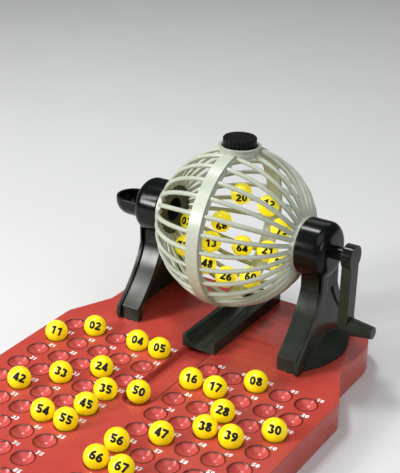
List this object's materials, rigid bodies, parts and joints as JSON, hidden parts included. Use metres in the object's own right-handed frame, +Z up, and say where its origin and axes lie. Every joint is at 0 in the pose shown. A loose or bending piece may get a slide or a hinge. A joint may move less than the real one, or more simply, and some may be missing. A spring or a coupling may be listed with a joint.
{
  "type": "bingo cage",
  "caption": "Hand-cranked ribbed bingo cage on two stands over a ball board with numbered pits, a return chute, an outlet cup and loose numbered balls.",
  "frame": {"origin": "on the table, under the middle of the part's box", "axes": "+X along the cage axle towards the crank, +Y from the board's front edge to the cage at the back, +Z up"},
  "size_m": [0.238, 0.326, 0.1743],
  "materials": {
    "red": "moulded crimson plastic, satin gloss",
    "black": "glossy black plastic",
    "grey": "warm light grey plastic, satin",
    "yellow": "yellow plastic with a black printed number"
  },
  "bodies": {
    "base": {"board": "red", "chute": "black", "stand_left": "black", "stand_right": "black", "outlet_cup": "black", "ball_02": "yellow", "ball_04": "yellow", "ball_05": "yellow", "ball_08": "yellow", "ball_11": "yellow", "ball_16": "yellow", "ball_17": "yellow", "ball_24": "yellow", "ball_28": "yellow", "ball_30": "yellow", "ball_33": "yellow", "ball_35": "yellow", "ball_38": "yellow", "ball_39": "yellow", "ball_42": "yellow", "ball_45": "yellow", "ball_47": "yellow", "ball_54": "yellow", "ball_55": "yellow", "ball_56": "yellow", "ball_66": "yellow", "ball_67": "yellow", "ball_20": "yellow", "ball_12": "yellow", "ball_75": "yellow", "ball_68": "yellow", "ball_13": "yellow", "ball_64": "yellow", "ball_21": "yellow", "ball_26": "yellow", "ball_48": "yellow", "ball_60": "yellow", "ball_71": "yellow", "ball_03": "yellow", "ball_81": "yellow"},
    "cage": {"cage_left": "grey", "cage_right": "grey", "band": "grey", "gate_ring": "grey", "crank_arm": "black"},
    "gate": {"gate_cap": "black"},
    "grip": {"crank_grip": "black"},
    "drawn_ball": {"ball_50": "yellow"}
  },
  "joints": [
    {"name": "cage_spin", "type": "hinge", "parent": "base", "child": "cage", "pos_m": [0, 0.10147, 0.104], "axis": [1, 0, 0], "continuous": true},
    {"name": "grip_spin", "type": "hinge", "parent": "cage", "child": "grip", "pos_m": [0.099, 0.09865, 0.05007], "axis": [1, 0, 0], "continuous": true},
    {"name": "gate_turn", "type": "hinge", "parent": "cage", "child": "gate", "pos_m": [0, 0.10488, 0.16891], "axis": [0, 0.0523, 0.9986], "continuous": true},
    {"name": "drawn_ball_roll", "type": "slide", "parent": "base", "child": "drawn_ball", "axis": [0, 1, 0], "range_m": [0, 0.06]}
  ]
}
